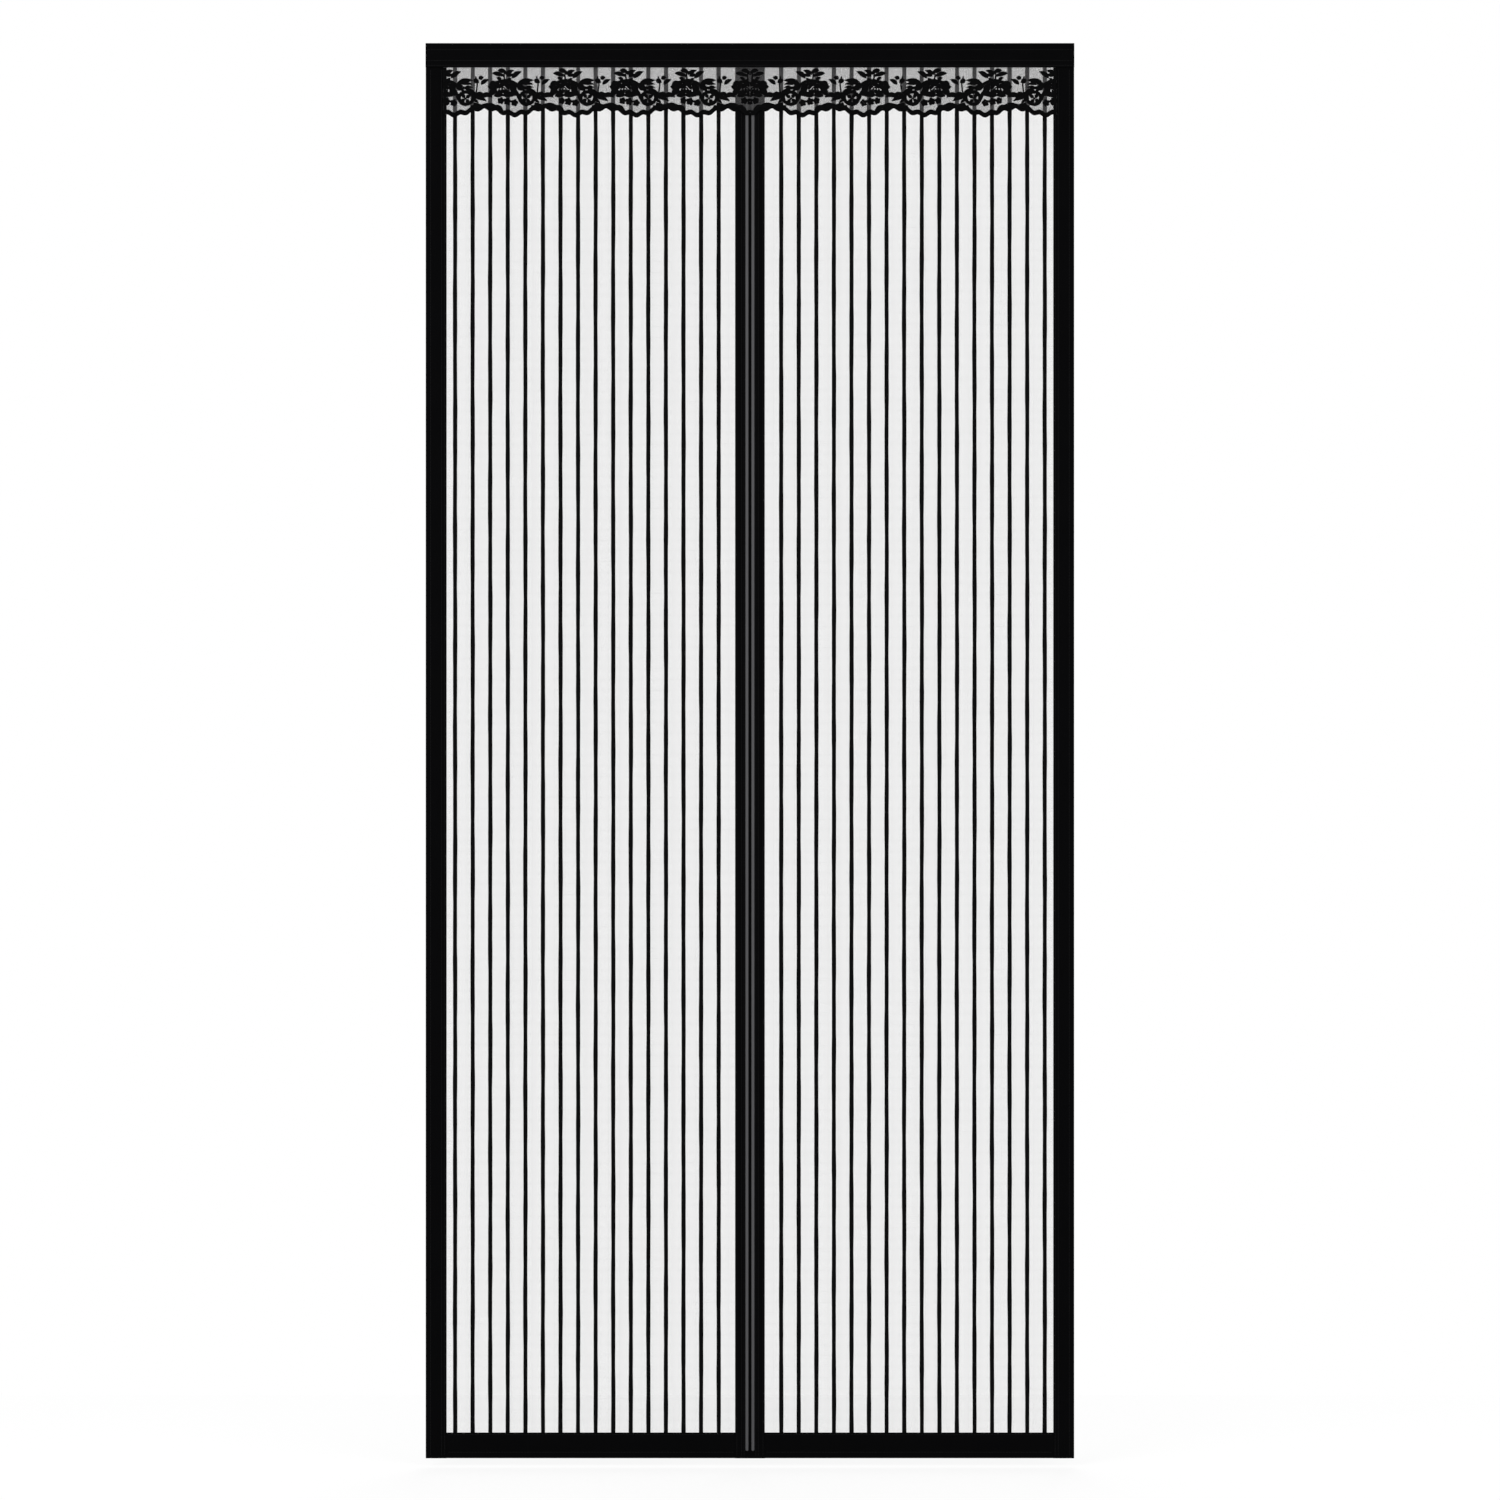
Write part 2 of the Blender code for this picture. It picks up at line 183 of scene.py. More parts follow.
# The sewn ends of the lace: width, height, top and the length of a straight bit
LACE_HEM = 0.0054
LACE_HEM_HEIGHT = 0.0010
LACE_HEM_TOP = 0.0007
LACE_HEM_STEP = 0.006

# Cords of the border as (distance in from the edge, width, height)
BORDER_STEP = 0.0022
BORDER_CORDS = ((0.0021, 0.0043, 0.0014), (0.0058, 0.0039, 0.0012))

# One repeat of the flowers in millimetres: outward from the lowest point of a scallop
# and down from the band. Leaves have two ends and a width, cords a width and a line,
# and flowers a centre and a reach.
UNIT_LEAVES = (
    ((26.2, 4.8), (12.8, 8.6), 7.8), ((14.6, 11.6), (1, 5), 7), ((4.6, 17), (-10.6, 6.6), 8.4),
    ((35, 9.2), (17.6, 14.6), 7.4), ((28.5, 16), (20, 20.5), 5.6), ((5.5, 16.5), (13, 20.5), 5.2),
    ((19, 7), (10, 11), 5), ((28, 12.4), (16, 12.8), 5.6), ((13, 13.8), (0, 12.6), 6),
    ((-13, 26.6), (-28.5, 26.4), 5.2), ((-16, 31.2), (-29, 31.6), 4.6), ((-3, 28), (-29, 20), 9.4),
    ((-1.5, 28), (-15, 37), 11), ((55.8, 18.2), (47.8, 15.8), 7.2), ((64.4, 20), (55.2, 24), 8.4),
    ((52.4, 26.8), (40, 18.8), 7), ((39.5, 26.5), (26, 25.5), 9), ((40, 33), (27.5, 32), 9.6),
    ((40, 39.5), (26.5, 38.5), 11), ((8.5, 26.5), (-2.5, 37), 8.6), ((9, 40), (-6, 43.5), 9),
    ((32.5, 44.6), (16, 43.8), 8.4), ((19, 43.8), (2, 44.8), 8.4), ((64, 45.8), (43.6, 52.4), 7.6),
    ((31, 58.5), (17.5, 68), 5.6), ((-24.5, 59), (-33.5, 66.5), 5.2), ((50, 41.5), (34, 46.5), 8),
    ((-29, 50), (-38, 55.5), 5),
)
UNIT_CORDS = (
    (5.6, ((40.5, 32), (33, 25.6), (22.5, 22), (12.3, 20.6), (2.7, 23.4), (-5.4, 28.4), (-12, 31))),
    (5.4, ((8.3, 25), (2.7, 32), (-3.4, 40), (-6.6, 48), (-11.6, 55.5), (-19.6, 58))),
    (6.2, ((64, 48.5), (58.5, 42.6), (53.5, 40.4), (49.5, 43), (45, 43.6), (39.5, 42), (34, 40.5))),
    (6.6, ((64, 57), (56, 59), (50, 61), (44.5, 58.4), (38, 57.8), (30, 61.5))),
    (4.6, ((-12, 31), (-22, 33.4), (-30, 38), (-33.5, 44), (-31, 50))),
    (2.6, ((16.2, 6), (16.6, 13), (15.8, 20))),
    (2.4, ((60.5, 14), (59, 20), (58, 26), (58.6, 32), (59.4, 40))),
)
UNIT_FLOWERS = (((21.4, 51.6), 5.8), ((11.3, 52.8), 6.4), ((0.4, 54.8), 6))
ROSE = (17, 34)
PAISLEY = (-18.3, 47)

# How far leaves bend, how narrow their ends are, a power that moves their widest
# place, how thin a strand ends, and the straight bits from one point of a cord to the next
BEND = 0.10
LEAF_POINT = 0.10
FULLEST = 0.85
THIN_END = 0.25
BEND_STEPS = 4

# Flowers: first angle, and the bare middle and the knot as shares of the reach
FLOWER_TURN = -math.degrees(0.5)
BARE_SHARE = 0.12
KNOT_SHARE = 0.22
KNOT_HEIGHT = 0.0009

# A rose: its heart as (first angle, turn, steps, reach, growth), the cord's width and
# height, rings as (petals, reach, rise, first and last angle, width), and the fan
HEART = (0, -540, 18, 0.0008, 0.0034)
HEART_CORD = (0.0023, 0.0011)
ROSE_RINGS = ((4, 0.0072, 0.0056, 5, 100, 0.0056), (5, 0.0124, 0.0086, -12, 66, 0.0074))
CRESCENT_STEPS = 8
CRESCENT_POINT = 0.2
CRESCENT_HEIGHT = 0.0008
FAN_RIBS = 7
FAN_START = 18
FAN_TURN = 24
FAN_NEAR = (0.0155, 0.0100)
FAN_FAR = (0.0205, 0.0135)
FAN_WIDTH = 0.0050

# A paisley: its ring as the heart of a rose, how oval it is, its cord, and its flower's
# place and (reach, petals, width)
RING = (150, -420, 32, 0.0096, 0.0024)
RING_OVAL = (0.98, 0.90)
RING_CORD = (0.0056, 0.0012)
FLOWER_SHIFT = (0.0006, 0.0012)
RING_FLOWER = (0.0094, 4, 0.0064)

# Outlines of strands as (across, proud) shares of their width and height
TRIANGLE = ((-0.5, -0.4), (0, 0.5), (0.5, -0.4))
ROUND = ((-0.5, 0), (-0.25, 0.43), (0.25, 0.43), (0.5, 0), (0.25, -0.43), (-0.25, -0.43))
RIBBON = (
    (-0.5, 0), (-0.43, 0.42), (-0.2, 0.6), (0.2, 0.6),
    (0.43, 0.42), (0.5, 0), (0.43, -0.4), (-0.43, -0.4),
)
PETAL = ((-0.5, -0.1), (-0.34, 0.62), (0, 1.0), (0.34, 0.62), (0.5, -0.1), (0, -0.3))

# Camera: sensor in millimetres, and how far its middle is off the screen's middle
SENSOR_WIDTH = 36
AIM = (0.0001, 0.0011)

# Light of the surroundings, and the floor's glow, size and middle, with the share of
# the glow that the camera sees
WORLD_LIGHT = 0.45
FLOOR_GLOW = 1.10
GLOW_SHARE = 0.75
FLOOR_SIZE = (7, 4.4, 1)
FLOOR_MIDDLE = -1.6

# Lamps as (name, place, size, share of the light level)
LAMPS = (
    ("key_lamp", (-2.4, -3.0, 0.4), 2.2, 1.0),
    ("fill_lamp", (2.6, -2.8, -0.3), 2.4, 0.75),
    ("back_lamp", (0.4, 2.6, 0.9), 2.2, 0.6),
)


# Sizes and colours that a user may change


def length_setting(name, description, default, **limits):
    return FloatProperty(
        name=name, description=description, default=default, unit="LENGTH", **limits
    )


def colour_setting(name, description, default):
    return FloatVectorProperty(
        name=name, description=description, default=default, subtype="COLOR"
    )


class NetSettings(bpy.types.PropertyGroup):
    thread_pitch: length_setting(
        "Thread pitch", "Distance from one net thread to the next", 0.0017, min=0.001
    )
    thread_width: length_setting(
        "Thread width", "Thickness of the fine net threads", 0.00015
    )
    stripe_width: length_setting(
        "Stripe width", "Width of the dense woven stripes", 0.0065
    )
    billow: length_setting(
        "Billow", "How far the hung panels swell to the front and back", 0.003
    )
    thread_colour: colour_setting(
        "Thread colour", "Colour of the fine net", (0.022, 0.020, 0.019)
    )
    stripe_colour: colour_setting(
        "Stripe colour", "Colour of the woven stripes", (0.0025, 0.0025, 0.0027)
    )


class LaceSettings(bpy.types.PropertyGroup):
    mesh_pitch: length_setting(
        "Mesh pitch", "Distance between the slanted threads of the lace ground", 0.0010
    )
    mesh_thread: length_setting(
        "Mesh thread", "Thickness of the lace ground threads", 0.00033
    )
    sway: length_setting(
        "Sway", "How far the free edge of the lace stands forward", 0.0012
    )
    ground_colour: colour_setting(
        "Ground colour", "Colour of the fine lace ground", (0.125, 0.123, 0.126)
    )
    flower_colour: colour_setting(
        "Flower colour",
        "Colour of the embroidered flowers and cords",
        (0.0020, 0.0020, 0.0022),
    )


class ClothSettings(bpy.types.PropertyGroup):
    weave_pitch: length_setting(
        "Weave pitch", "Distance between the yarns of the binding cloth", 0.00055
    )
    stitch_pitch: length_setting(
        "Stitch pitch", "Distance from one stitch to the next", 0.0045
    )
    stitch_length: length_setting(
        "Stitch length", "Length of the thread that shows in each stitch", 0.0034
    )
    groove_depth: length_setting(
        "Groove depth", "How deep a row of stitches pulls the cloth in", 0.0003
    )
    fold_steps: IntProperty(
        name="Fold steps",
        description="Faces round the folded edge of a band",
        default=8,
        min=3,
        max=16,
    )
    cloth_colour: colour_setting(
        "Cloth colour", "Colour of the folded bands and sleeves", (0.0016, 0.0016, 0.0018)
    )
    rubber_colour: colour_setting(
        "Magnet colour", "Colour of the flexible magnet strips", (0.070, 0.070, 0.074)
    )


class StageSettings(bpy.types.PropertyGroup):
    lens: FloatProperty(
        name="Lens", description="Focal length in millimetres", default=85.0, min=20.0
    )
    view_width: length_setting(
        "View width", "Width of the picture at the plane of the screen", 2.3119
    )
    floor_gap: length_setting(
        "Floor gap", "Clear height between the hems and the floor", 0.013
    )
    light_level: FloatProperty(
        name="Light level",
        description="Power of each studio lamp in watts",
        default=60.0,
        min=0.0,
    )


# Materials


class Socket:
    """A number from a node; arithmetic on it adds the Math nodes."""

    def __init__(self, nodes, output):
        self.nodes = nodes
        self.output = output

    def beside(self, output):
        """Another output of the same node."""
        return Socket(self.nodes, self.output.node.outputs[output])

    def math(self, operation, *values):
        return self.nodes.node("Math", {"operation": operation}, dict(enumerate(values)))

    def __add__(self, other):
        return self.math("ADD", self, other)

    def __radd__(self, other):
        return self.math("ADD", other, self)

    def __sub__(self, other):
        return self.math("SUBTRACT", self, other)

    def __rsub__(self, other):
        return self.math("SUBTRACT", other, self)

    def __mul__(self, other):
        return self.math("MULTIPLY", self, other)

    def __rmul__(self, other):
        return self.math("MULTIPLY", other, self)

    def wave(self, length):
        """A sine over this distance, from 0 to 1."""
        return self.math("SINE", self * (math.tau / length)) * 0.5 + 0.5

    def at_most(self, other):
        return self.math("MINIMUM", self, other)

    def at_least(self, other):
        return self.math("MAXIMUM", self, other)


class Nodes:
    """A node tree that grows by node() and by Socket arithmetic."""

    def __init__(self, tree):
        self.tree = tree

    def node(self, kind, settings=None, values=None, output=0):
        """Adds a node, makes its settings, then fills its sockets; gives one output."""
        node = self.tree.nodes.new("ShaderNode" + kind)
        for setting, value in (settings or {}).items():
            setattr(node, setting, value)
        for name, value in (values or {}).items():
            self.fill(node.inputs[name], value)
        return Socket(self, node.outputs[output])

    def fill(self, target, value):
        if isinstance(value, Socket):
            self.tree.links.new(value.output, target)
        else:
            target.default_value = value

    def background_seen(self):
        """1 for rays that show the background, and 0 for those that light the object."""
        camera = self.node("LightPath", output="Is Camera Ray")
        seen = camera.at_least(camera.beside("Is Transmission Ray"))
        return seen.at_least(camera.beside("Is Glossy Ray"))


class Finish(Nodes):
    """A material whose patterns are built with node() and Socket arithmetic."""

    def __init__(self, name, roughness=0.8, metallic=0.0, specular=0.3, sheen=0.0):
        self.material = bpy.data.materials.new(name)
        self.material.use_nodes = True
        super().__init__(self.material.node_tree)
        self.shader = self.tree.nodes["Principled BSDF"]
        for socket, value in (
            ("Roughness", roughness),
            ("Metallic", metallic),
            ("Specular IOR Level", specular),
            ("Sheen Weight", sheen),
            ("Sheen Roughness", 0.5),
        ):
            self.shader.inputs[socket].default_value = value

    def place(self):
        """Object coordinates as three numbers."""
        where = self.node("TexCoord", output="Object")
        x = self.node("SeparateXYZ", values={0: where})
        return x, x.beside(1), x.beside(2)

    def noise(self, scale, detail=3.0, roughness=0.5, stretch=(1, 1, 1)):
        where = self.node("TexCoord", output="Object")
        moved = self.node("Mapping", values={"Vector": where, "Scale": stretch})
        values = {"Vector": moved, "Scale": scale, "Detail": detail, "Roughness": roughness}
        return self.node("TexNoise", values=values, output="Fac")

    def colour(self, mask, dark, light):
        """Base colours from dark to light as the mask goes from 0 to 1."""
        values = {0: mask, 6: (*dark, 1), 7: (*light, 1)}
        mixed = self.node("Mix", {"data_type": "RGBA"}, values, output=2)
        self.fill(self.shader.inputs["Base Color"], mixed)

    def tones(self, mask, colour, low, high):
        """Tones of one colour, from its low to its high multiple as the mask goes up."""
        self.colour(mask, tinted(colour, low), tinted(colour, high))

    def rough(self, value):
        self.fill(self.shader.inputs["Roughness"], value)

    def bump(self, height, distance):
        values = {"Height": height, "Distance": distance, "Strength": 1.0}
        raised = self.node("Bump", values=values, output="Normal")
        self.fill(self.shader.inputs["Normal"], raised)


def tinted(colour, factor):
    return tuple(min(channel * factor, 1) for channel in colour)


def binding_cloth(settings):
    """Plain weave polyester: yarns over and under, slightly worn and dusty."""
    finish = Finish("binding_cloth", roughness=0.85, specular=0.02, sheen=0.002)
    x, y, z = finish.place()
    pitch = settings.weave_pitch
    warp = (x + y).wave(pitch * 2)
    weft = z.wave(pitch * 2)
    over = warp * weft + (1 - warp) * (1 - weft)
    slub = finish.noise(90, detail=4, stretch=(1, 1, 0.2))
    dust = finish.noise(14, detail=5, roughness=0.6)
    look = (over * 0.45 + slub * 0.4 + dust * 0.35).at_most(1.0)
    finish.tones(look, settings.cloth_colour, 0.5, 1.9)
    finish.rough(0.78 + slub * 0.18)
    finish.bump(over + slub * 0.6, 0.00018)
    return finish.material


def sewing_thread(settings):
    """Two-ply thread whose twist runs along each stitch."""
    finish = Finish("sewing_thread", roughness=0.6, specular=0.12)
    x, y, z = finish.place()
    twist = (x + y * 0.5 + z * 0.9).wave(0.0005)
    finish.tones(twist, settings.cloth_colour, 1.2, 4.0)
    finish.rough(0.5 + twist * 0.2)
    finish.bump(twist, 0.00006)
    return finish.material


def net_thread(settings):
    finish = Finish("net_thread", roughness=0.55, specular=0.2)
    wear = finish.noise(60, detail=4)
    finish.tones(wear, settings.thread_colour, 0.6, 1.6)
    finish.rough(0.45 + wear * 0.25)
    return finish.material


def woven_stripe(settings):
    """Dense stripe: fine ribs across it and warp lines down it."""
    finish = Finish("woven_stripe", roughness=0.7, specular=0.02)
    x, _, z = finish.place()
    rib = z.wave(0.0009)
    line = x.wave(0.0006)
    slub = finish.noise(120, detail=4, stretch=(1, 1, 0.15))
    look = (rib * 0.4 + line * 0.3 + slub * 0.4).at_most(1.0)
    finish.tones(look, settings.stripe_colour, 0.5, 2.0)
    finish.rough(0.6 + slub * 0.25)
    finish.bump(rib * 0.6 + line * 0.5 + slub * 0.5, 0.00012)
    return finish.material


def lace_ground(settings):
    finish = Finish("lace_ground", roughness=0.5, specular=0.3)
    wear = finish.noise(90, detail=3)
    finish.tones(wear, settings.ground_colour, 0.6, 1.4)
    finish.rough(0.4 + wear * 0.25)
    return finish.material


def satin_stitch(settings):
    """Embroidery thread laid side by side across each petal and cord."""
    finish = Finish("satin_stitch", roughness=0.6, specular=0.02)
    where = finish.node("UVMap", {"uv_map": "Strand"})
    along = finish.node("SeparateXYZ", values={0: where}, output=1)
    strand = along.wave(0.00055)
    uneven = finish.noise(180, detail=3)
    look = (strand * 0.5 + uneven * 0.5).at_most(1.0)
    finish.tones(look, settings.flower_colour, 0.4, 1.9)
    finish.rough(0.50 + uneven * 0.3)
    finish.bump(strand + uneven * 0.4, 0.00012)
    return finish.material


def magnet_rubber(settings):
    """Extruded rubber with a fine grain and scuffs along it."""
    finish = Finish("magnet_rubber", roughness=0.55, specular=0.25)
    grain = finish.noise(700, detail=3)
    scuff = finish.noise(40, detail=6, roughness=0.7, stretch=(1, 1, 0.12))
    look = (grain * 0.4 + scuff * 0.6).at_most(1.0)
    finish.tones(look, settings.rubber_colour, 0.75, 1.3)
    finish.rough(0.42 + scuff * 0.3)
    finish.bump(grain * 0.5 + scuff * 0.5, 0.00006)
    return finish.material


def loop_pile(settings):
    """Brushed loops that stand in all directions."""
    finish = Finish("loop_pile", roughness=0.95, specular=0.1, sheen=0.05)
    fuzz = finish.noise(1500, detail=4, roughness=0.7)
    tuft = finish.noise(350, detail=2)
    finish.tones(fuzz * tuft * 1.6, settings.cloth_colour, 0.7, 5.0)
    finish.rough(0.85 + tuft * 0.12)
    finish.bump(fuzz * 0.6 + tuft, 0.0004)
    return finish.material


def adhesive_film():
    """The back of the hook tape: smooth film over the ribs of the moulding."""
    finish = Finish("adhesive_film", roughness=0.35, specular=0.4)
    x, _, z = finish.place()
    rib = (x + z).wave(0.0012)
    smear = finish.noise(30, detail=5, roughness=0.6)
    look = (rib * 0.3 + smear * 0.7).at_most(1.0)
    finish.colour(look, (0.006, 0.006, 0.0065), (0.022, 0.022, 0.023))
    finish.rough(0.28 + smear * 0.3)
    finish.bump(rib * 0.4 + smear * 0.6, 0.00008)
    return finish.material


def galvanised_steel():
    """Zinc-coated strip, brushed along its length and faintly spangled."""
    finish = Finish("galvanised_steel", roughness=0.35, metallic=1.0)
    brushed = finish.noise(60, detail=4, stretch=(0.05, 1, 6))
    spangle = finish.noise(180, detail=1)
    look = brushed * 0.6 + spangle * 0.4
    finish.colour(look, (0.42, 0.43, 0.44), (0.66, 0.67, 0.68))
    finish.rough(0.28 + brushed * 0.25)
    finish.bump(brushed, 0.00003)
    return finish.material


def pale_floor():
    """Matt floor that shows as part of the white background and keeps the shadow."""
    finish = Finish("pale_floor", roughness=0.9, specular=0.1)
    finish.colour(finish.noise(1.5), (0.84, 0.84, 0.84), (0.90, 0.90, 0.90))
    plain = Socket(finish, finish.shader.outputs[0])
    glow = finish.node("Emission", values={"Strength": FLOOR_GLOW})
    seen = finish.background_seen() * GLOW_SHARE
    surface = finish.node("MixShader", values={0: seen, 1: plain, 2: glow})
    finish.fill(finish.tree.nodes["Material Output"].inputs["Surface"], surface)
    return finish.material


# Strands: threads, ribbons, cords and petals, each a closed shape along a path


class Strands:
    """Gathers strands and makes one object of them."""

    def __init__(self):
        self.points = []
        self.faces = []
        self.finishes = []
        self.places = []

    def add(self, path, section, finish=0):
        """The path lists (centre, width, height); the section is set across it."""
        count = len(section)
        first = len(self.points)
        last = len(path) - 1
        run = 0.0
        for index, (centre, width, height) in enumerate(path):
            before = path[max(index - 1, 0)][0]
            after = path[min(index + 1, last)][0]
            beside = (after - before).cross(FORWARD).normalized()
            if index:
                run += (centre - before).length
            for across, proud in section:
                out = FORWARD * (proud * height)
                self.points.append(centre + beside * (across * width) + out)
                self.places.append((across * width, run))
        end = first + last * count
        for ring in range(first, end, count):
            for corner in range(count):
                here, following = ring + corner, ring + (corner + 1) % count
                self.faces.append((here, following, following + count, here + count))
        self.faces.append(tuple(range(first + count - 1, first - 1, -1)))
        self.faces.append(tuple(range(end, end + count)))
        self.finishes += [finish] * (last * count + 2)

    def make(self, name, materials):
        mesh = bpy.data.meshes.new(name)
        mesh.from_pydata(self.points, [], self.faces)
        for material in materials:
            mesh.materials.append(material)
        mesh.polygons.foreach_set("material_index", self.finishes)
        mesh.polygons.foreach_set("use_smooth", [True] * len(self.faces))
        layer = mesh.uv_layers.new(name="Strand")
        corners = [0] * len(mesh.loops)
        mesh.loops.foreach_get("vertex_index", corners)
        flat = [number for corner in corners for number in self.places[corner]]
        layer.data.foreach_set("uv", flat)
        shape = bmesh.new()
        shape.from_mesh(mesh)
        bmesh.ops.recalc_face_normals(shape, faces=shape.faces)
        shape.to_mesh(mesh)
        shape.free()
        obj = bpy.data.objects.new(name, mesh)
        bpy.context.scene.collection.objects.link(obj)
        return obj


# Modelling steps


def choose(*pieces):
    """Leaves only these pieces selected, and the first one active."""
    bpy.ops.object.select_all(action="DESELECT")
    for piece in pieces:
        piece.select_set(True)
    bpy.context.view_layer.objects.active = pieces[0]


def start_on(obj):
    """Opens this piece alone in edit mode."""
    choose(obj)
    bpy.ops.object.mode_set(mode="EDIT")


def leave():
    bpy.ops.object.mode_set(mode="OBJECT")


def add_block(name, low, high):
    """A block between two corners, with its object at the origin."""
    bpy.ops.object.select_all(action="DESELECT")
    bpy.ops.mesh.primitive_cube_add(size=1, location=(low + high) / 2, scale=high - low)
    obj = bpy.context.object
    obj.name = name
    obj.data.name = name
    bpy.ops.object.transform_apply(location=True, rotation=False, scale=True)
    return obj


def pick(obj, kind, test):
    """Selects the faces, edges or points that pass a test, in edit mode."""
    bpy.ops.mesh.select_mode(type=kind)
    bpy.ops.mesh.select_all(action="DESELECT")
    shape = bmesh.from_edit_mesh(obj.data)
    parts = {"FACE": shape.faces, "EDGE": shape.edges, "VERT": shape.verts}[kind]
    for part in parts:
        if test(part):
            part.select_set(True)
    shape.select_flush_mode()
    bmesh.update_edit_mesh(obj.data)


def middle(part):
    corners = [corner.co for corner in part.verts]
    return sum(corners, Vector()) / len(corners)


def lies_at(part, axis, place):
    return abs(middle(part)[axis] - place) < NEAR


def runs_along(edge, axis):
    gap = edge.verts[1].co - edge.verts[0].co
    return abs(gap[axis]) > STRAIGHT * gap.length


def on_axis(axis, length):
    """A vector of this length along one axis."""
    vector = Vector((0, 0, 0))
    vector[axis] = length
    return vector


def extrude(move):
    bpy.ops.mesh.extrude_region_move(TRANSFORM_OT_translate={"value": move})


def divide(obj, axis, cuts):
    """Cuts the long edges of a piece into short ones."""
    pick(obj, "EDGE", lambda e: runs_along(e, axis) and e.calc_length() > LONG)
    bpy.ops.mesh.subdivide(number_cuts=cuts)


def apply_modifier(obj, kind, **settings):
    modifier = obj.modifiers.new(kind.title(), kind)
    for setting, value in settings.items():
        setattr(modifier, setting, value)
    choose(obj)
    bpy.ops.object.modifier_apply(modifier=modifier.name)


def smooth(obj, degrees=40):
    choose(obj)
    bpy.ops.object.shade_smooth_by_angle(angle=math.radians(degrees))


def dress(obj, material, slot, *nodes):
    """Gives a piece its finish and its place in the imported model."""
    if material:
        obj.data.materials.clear()
        obj.data.materials.append(material)
    if nodes:
        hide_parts(*nodes)
    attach(obj, "root")


# Folded and stitched cloth


def sewn_box(node):
    """The box of a packed cloth piece, reaching over the joints to its neighbours."""
    low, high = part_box(node)
    if "bottom_hem" in node:
        low.x -= JOINT
        high.x += JOINT
    if "side_band" in node or "sleeve" in node:
        high.z = LIP
    if "sleeve" in node:
        low.x, high.x = (0, high.x) if high.x > 0 else (low.x, 0)
    return low, high


def open_slot(obj, axis, lip, reach):
    """Opens a slot at the lip of a block, with a leaf of cloth on each side of it."""
    pick(obj, "FACE", lambda f: lies_at(f, axis, lip))
    bpy.ops.mesh.inset(thickness=LEAF, depth=0)
    extrude(on_axis(axis, reach))


def press_dip(obj, axis, place, depth):
    """Cuts three lines across an axis and pulls the middle one into the cloth."""
    for shift in (-DIP_HALF, 0, DIP_HALF):
        bpy.ops.mesh.select_all(action="SELECT")
        bpy.ops.mesh.bisect(plane_co=on_axis(axis, place + shift), plane_no=on_axis(axis, 1))
    levels = [round(v.co.y, 6) for v in bmesh.from_edit_mesh(obj.data).verts]
    for level, pull in ((min(levels), depth), (max(levels), -depth)):
        pick(
            obj,
            "VERT",
            lambda v: abs(v.co[axis] - place) < NEAR and abs(v.co.y - level) < SAME_LEVEL,
        )
        bpy.ops.transform.translate(value=(0, pull, 0))


def press_rows(obj, long_axis, rows, cuts):
    """Divides a piece along its length and pulls its rows of stitches in."""
    divide(obj, long_axis, cuts)
    depth = bpy.context.scene.screen_cloth.groove_depth
    for place in rows:
        press_dip(obj, 2 - long_axis, place, depth)


def folded_band(name, node, long_axis, fold_sign, slot_depth, rows, cuts):
    """A block with a round folded edge, and a slot at its lip that holds the net."""
    low, high = sewn_box(node)
    fold_axis = 2 - long_axis
    lip, fold = low[fold_axis], high[fold_axis]
    if fold_sign < 0:
        lip, fold = fold, lip
    half = (high.y - low.y) / 2
    steps = bpy.context.scene.screen_cloth.fold_steps
    obj = add_block(name, low, high)
    start_on(obj)
    pick(obj, "EDGE", lambda e: runs_along(e, long_axis) and lies_at(e, fold_axis, fold))
    bpy.ops.mesh.bevel(offset=half * FOLD_SHARE, segments=steps, affect="EDGES")
    open_slot(obj, fold_axis, lip, fold_sign * slot_depth)
    pick(
        obj,
        "EDGE",
        lambda e: lies_at(e, fold_axis, lip)
        and runs_along(e, long_axis)
        and abs(abs(middle(e).y - (low.y + high.y) / 2) - half) < NEAR,
    )
    bpy.ops.mesh.bevel(offset=LIP_ROUND, segments=2, affect="EDGES")
    press_rows(obj, long_axis, rows, cuts)
    leave()
    smooth(obj)
    return obj


def sew(name, thread, long_axis, rows, start, end, front):
    """Rows of stitches on the front of a band, from start to end along its long axis."""
    settings = bpy.context.scene.screen_cloth
    count = int((end - start) / settings.stitch_pitch)
    spare = (end - start - count * settings.stitch_pitch) / 2
    half = settings.stitch_length * FLAT_SHARE
    sewn = []
    for place in rows:
        spot = Vector((0, front, 0))
        spot[2 - long_axis] = place
        spot[long_axis] = start + spare + settings.stitch_pitch / 2
        low = spot - Vector((STITCH_HALF, STITCH_PROUD, STITCH_HALF))
        high = spot + Vector((STITCH_HALF, STITCH_SUNK, STITCH_HALF))
        low[long_axis] = spot[long_axis] - half
        high[long_axis] = spot[long_axis] + half
        stitch = add_block(name, low, high)
        start_on(stitch)
        for sign in (-1, 1):
            edge = spot[long_axis] + sign * half
            pick(stitch, "FACE", lambda f: lies_at(f, long_axis, edge))
            dive = sign * settings.stitch_length * DIVE_SHARE
            extrude(on_axis(long_axis, dive) + on_axis(1, DIVE_DEPTH))
        leave()
        apply_modifier(
            stitch,
            "ARRAY",
            count=count,
            use_relative_offset=False,
            use_constant_offset=True,
            constant_offset_displace=on_axis(long_axis, settings.stitch_pitch),
        )
        sewn.append(stitch)
    choose(*sewn)
    bpy.ops.object.join()
    sewn[0].name = sewn[0].data.name = name
    smooth(sewn[0], 60)
    dress(sewn[0], thread, "binding_cloth")


# Nets


